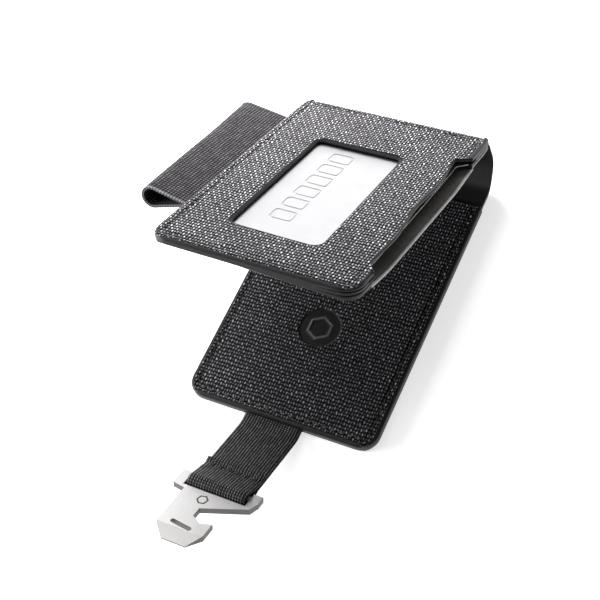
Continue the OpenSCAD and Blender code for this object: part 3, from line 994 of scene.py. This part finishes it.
def ribbon(name, path):
    """Webbing along a Y-Z path, with soft selvages."""
    across = np.concatenate([[-1.0], np.linspace(-0.975, 0.975, 25), [1.0]])
    fall = np.interp(np.abs(across), [0, 0.93, 0.985, 1.0], [1, 1, 0.72, 0.35])
    x = STRAP_X + across * STRAP_W / 2
    normal = normals_2d(path)

    def face(side):
        yz = path[:, None] + normal[:, None] * (fall * side * STRAP_T / 2)[None, :, None]
        return np.concatenate([np.broadcast_to(x[None, :, None], (*yz.shape[:2], 1)), yz], -1)

    uv = np.stack(np.meshgrid(run_along(path), x, indexing="ij"), -1)[..., ::-1]
    return sheet_solid(name, face(1), face(-1), [WEBBING] * 3, uv=uv)


def fold_path():
    """The webbing's centre line from the second bend round the opener's bar, in the strap's frame."""
    place_in = STRAP.inverted() @ BAR
    centre = (-place_in.y, place_in.z)
    r = 1.8 + STRAP_T / 2
    lap = 2 * centre[1] + 0.06
    seam_end, tip = centre[0] - 5.8, 4.7
    touch = math.degrees(math.acos(r / math.hypot(centre[0] - seam_end, centre[1])))
    touch += math.degrees(math.atan2(centre[1], centre[0] - seam_end))
    loop = arc(centre, r, 180 + touch, 540 - touch, 40)
    top = np.array([(seam_end + 1.2, lap + 0.55), (seam_end - 0.6, lap + 0.25), (seam_end - 2.2, lap - 0.35),
                    (seam_end - 3.4, lap - 0.4), (tip + 0.9, lap + 0.1), (tip, lap + 0.55)])
    return spaced(np.concatenate([[(0.0, 0.0), (seam_end, 0.0)], loop, top]), 0.35)


def strap_and_opener():
    """The webbing in two lengths, each bent over one hinge, two rows of stitches across it and the steel
    plate.
    """
    bend, bend_2 = np.array([BEND_1.y, BEND_1.z]), np.array([BEND_2.y, BEND_2.z])
    middle = (bend + bend_2) / 2
    root = ribbon("strap_first_length", bent_path(((front_1[0] + 30, BEND_1.z), bend, middle), 9.0, 0.5))
    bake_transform(root)
    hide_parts("strap_root", "strap_middle")

    local = fold_path()
    world = np.array([(STRAP @ Vector((0, -p[0], p[1])))[1:] for p in local])
    world = spaced(np.concatenate([[middle], world]), 0.35)
    end = ribbon("strap_second_length", world)
    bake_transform(end)
    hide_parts("strap_end")

    top = 1.5 * STRAP_T + 0.02
    half = STRAP_W / 2 - 1.2
    stitches("strap_seam", [((STRAP_X - half, y), (STRAP_X + half, y)) for y in STRAP_SEAM_Y], top,
             STRAP @ Matrix.Translation((-BEND_2.x, 0, 0)), "strap_end", "strap_stitching", (1.2, 0.34, 0.16))

    opener = copied("opener_plate", "opener", STEEL, 0.28)
    corners = np.radians(np.arange(0, 360, 60) + 15)
    hexagon = np.stack([np.cos(corners), np.sin(corners)], -1)
    centre = (STRAP_X - BEND_2.x + OPENER_MARK_AT[0], OPENER_MARK_AT[1])
    ring = [centre + r * hexagon for r in OPENER_MARK_R]
    top = local_box("opener", STRAP)[1][2]
    # The mark's cut walls take the dark steel, as painted shade.
    mark = ring_prism("opener_mark", *ring, top - 0.15, top + 1, STEEL_EDGE_DARK_REFLECTION, STRAP)
    cut(opener, mark, crease=FLAT_CREASE)
    opener.data.materials.append(STEEL_TIP_SHADED)
    plate_up = (STRAP.to_3x3() @ Vector((0, 0, 1))).normalized()
    # Large slanted faces get the darker steel as painted shade. Side walls and small rounds get the dark
    # steel as painted dark reflection.
    for p in opener.data.polygons:
        facing = abs(p.normal @ plate_up)
        if p.material_index == 0:
            slanted = facing < 0.995
            p.material_index = 2 if slanted and facing > 0.35 and p.area > 1.0 * MM ** 2 else int(slanted)
    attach(opener, "opener")
    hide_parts("opener")


def copied(name, node, material, width):
    """Copy of a CAD node's mesh, its flat faces joined and its edges rounded."""
    mesh = frame["nodes"][node].data.copy()
    mesh.materials.clear()
    mesh.materials.append(material)
    obj = linked(name, mesh)
    bm = bmesh.new()
    bm.from_mesh(mesh)
    bmesh.ops.remove_doubles(bm, verts=bm.verts, dist=1e-6)
    bmesh.ops.dissolve_limit(bm, angle_limit=math.radians(2), verts=bm.verts, edges=bm.edges)
    bm.to_mesh(mesh)
    bm.free()
    modifier = obj.modifiers.new("bevel", "BEVEL")
    modifier.width, modifier.segments = width * MM, 2
    modifier.limit_method, modifier.angle_limit = "ANGLE", math.radians(30)
    modifier.miter_outer = "MITER_ARC"
    apply_modifiers(obj)
    mesh = obj.data
    layer = mesh.uv_layers.get("UVMap") or mesh.uv_layers.new(name="UVMap")
    back = (STRAP if node == "opener" else UPPER).inverted()
    for loop in mesh.loops:
        p = back @ (mesh.vertices[loop.vertex_index].co / MM)
        layer.data[loop.index].uv = (p.x + 0.3 * p.z, p.y + 0.3 * p.z)
    tidy(obj, FLAT_CREASE)
    return obj


def card():
    """Metal card with a row of plain engraved marks."""
    plate = copied("card_plate", "id_card", CARD, 0.12)
    top = CARD_HI[2]
    x = WINDOW_AT[0] - 3.4
    marks = []
    for i in range(MARKS):
        y = CARD_AT_Y + (i - (MARKS - 1) / 2) * MARK_PITCH
        outer = round_rect((x, y), (8.4, 6.2), 1.2, 4)
        inner = round_rect((x, y), (7.2, 5.0), 0.7, 4)
        marks.append(ring_prism("mark_%d" % i, outer, inner, top - 0.14, top + 1, CARD, UPPER))
    cut(plate, *marks, crease=FLAT_CREASE)
    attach(plate, "card")
    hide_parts("id_card")


# ---- stage

def aimed(name, data, at, aim):
    """Light or camera at one point, turned to another."""
    obj = linked(name, data)
    obj.location = at
    obj.rotation_mode = "QUATERNION"
    obj.rotation_quaternion = (Vector(aim) - Vector(at)).to_track_quat("-Z", "Y")
    return obj


def area_light(name, at, aim, size, power, glossy=True):
    data = bpy.data.lights.new(name, "AREA")
    data.shape, (data.size, data.size_y) = "RECTANGLE", size
    data.energy = power
    obj = aimed(name, data, at, aim)
    obj.visible_camera, obj.visible_glossy = False, glossy


def stage():
    floor_mesh = bpy.data.meshes.new("floor")
    half = 3.0
    floor_mesh.from_pydata([(-half, -half, 0), (half, -half, 0), (half, half, 0), (-half, half, 0)], [],
                           [(0, 1, 2, 3)])
    floor = linked("floor", floor_mesh)
    n = Nodes("floor")
    grain = n.noise((30, 30, 30), 3.0, n.add("ShaderNodeTexCoord", {}).outputs["Object"])
    n.set(Base_Color=n.mix(grain, (0.88, 0.88, 0.885), (0.92, 0.92, 0.92)), Roughness=0.7)
    n.set(Emission_Color=(1, 1, 1, 1), Emission_Strength=0.65)
    n.material.cycles.emission_sampling = "NONE"
    floor_mesh.materials.append(n.material)

    world = bpy.data.worlds.new("studio")
    scene.world = world
    world.use_nodes = True
    background = world.node_tree.nodes["Background"]
    background.inputs["Color"].default_value = (1, 1, 1, 1)
    background.inputs["Strength"].default_value = 0.15
    area_light("back", (-0.5, 1.0, 0.35), (0, 0.02, 0.03), (1.6, 0.7), 4.8)
    area_light("key", (-0.13, 0.17, 0.135), (0, 0, 0.03), (0.14, 0.14), 1.65, glossy=False)
    area_light("top", (-0.35, 0.1, 0.6), (0, 0, 0.02), (0.6, 0.6), 2.0)
    area_light("side", (-0.8, -0.35, 0.28), (0, 0, 0.02), (0.5, 0.3), 9.5)


def camera():
    """The photograph's view: a long lens, well above the lower panel, rolled clockwise."""
    data = bpy.data.cameras.new("camera")
    data.lens, data.sensor_width = 78.0, 36.0
    data.clip_start, data.clip_end = 0.01, 20
    scene.camera = aimed("camera", data, (0.1709, -0.1926, 0.3945), (0.0031, -0.0248, 0.0359))
    roll = Matrix.Rotation(math.radians(-23.55), 4, "Z").to_quaternion()
    scene.camera.rotation_quaternion = scene.camera.rotation_quaternion @ roll


camera()
lower_panel()
upper_panel()
divider_and_shell()
seams()
pen_loop()
strap_and_opener()
card()
stage()
scene.view_settings.view_transform = "Standard"
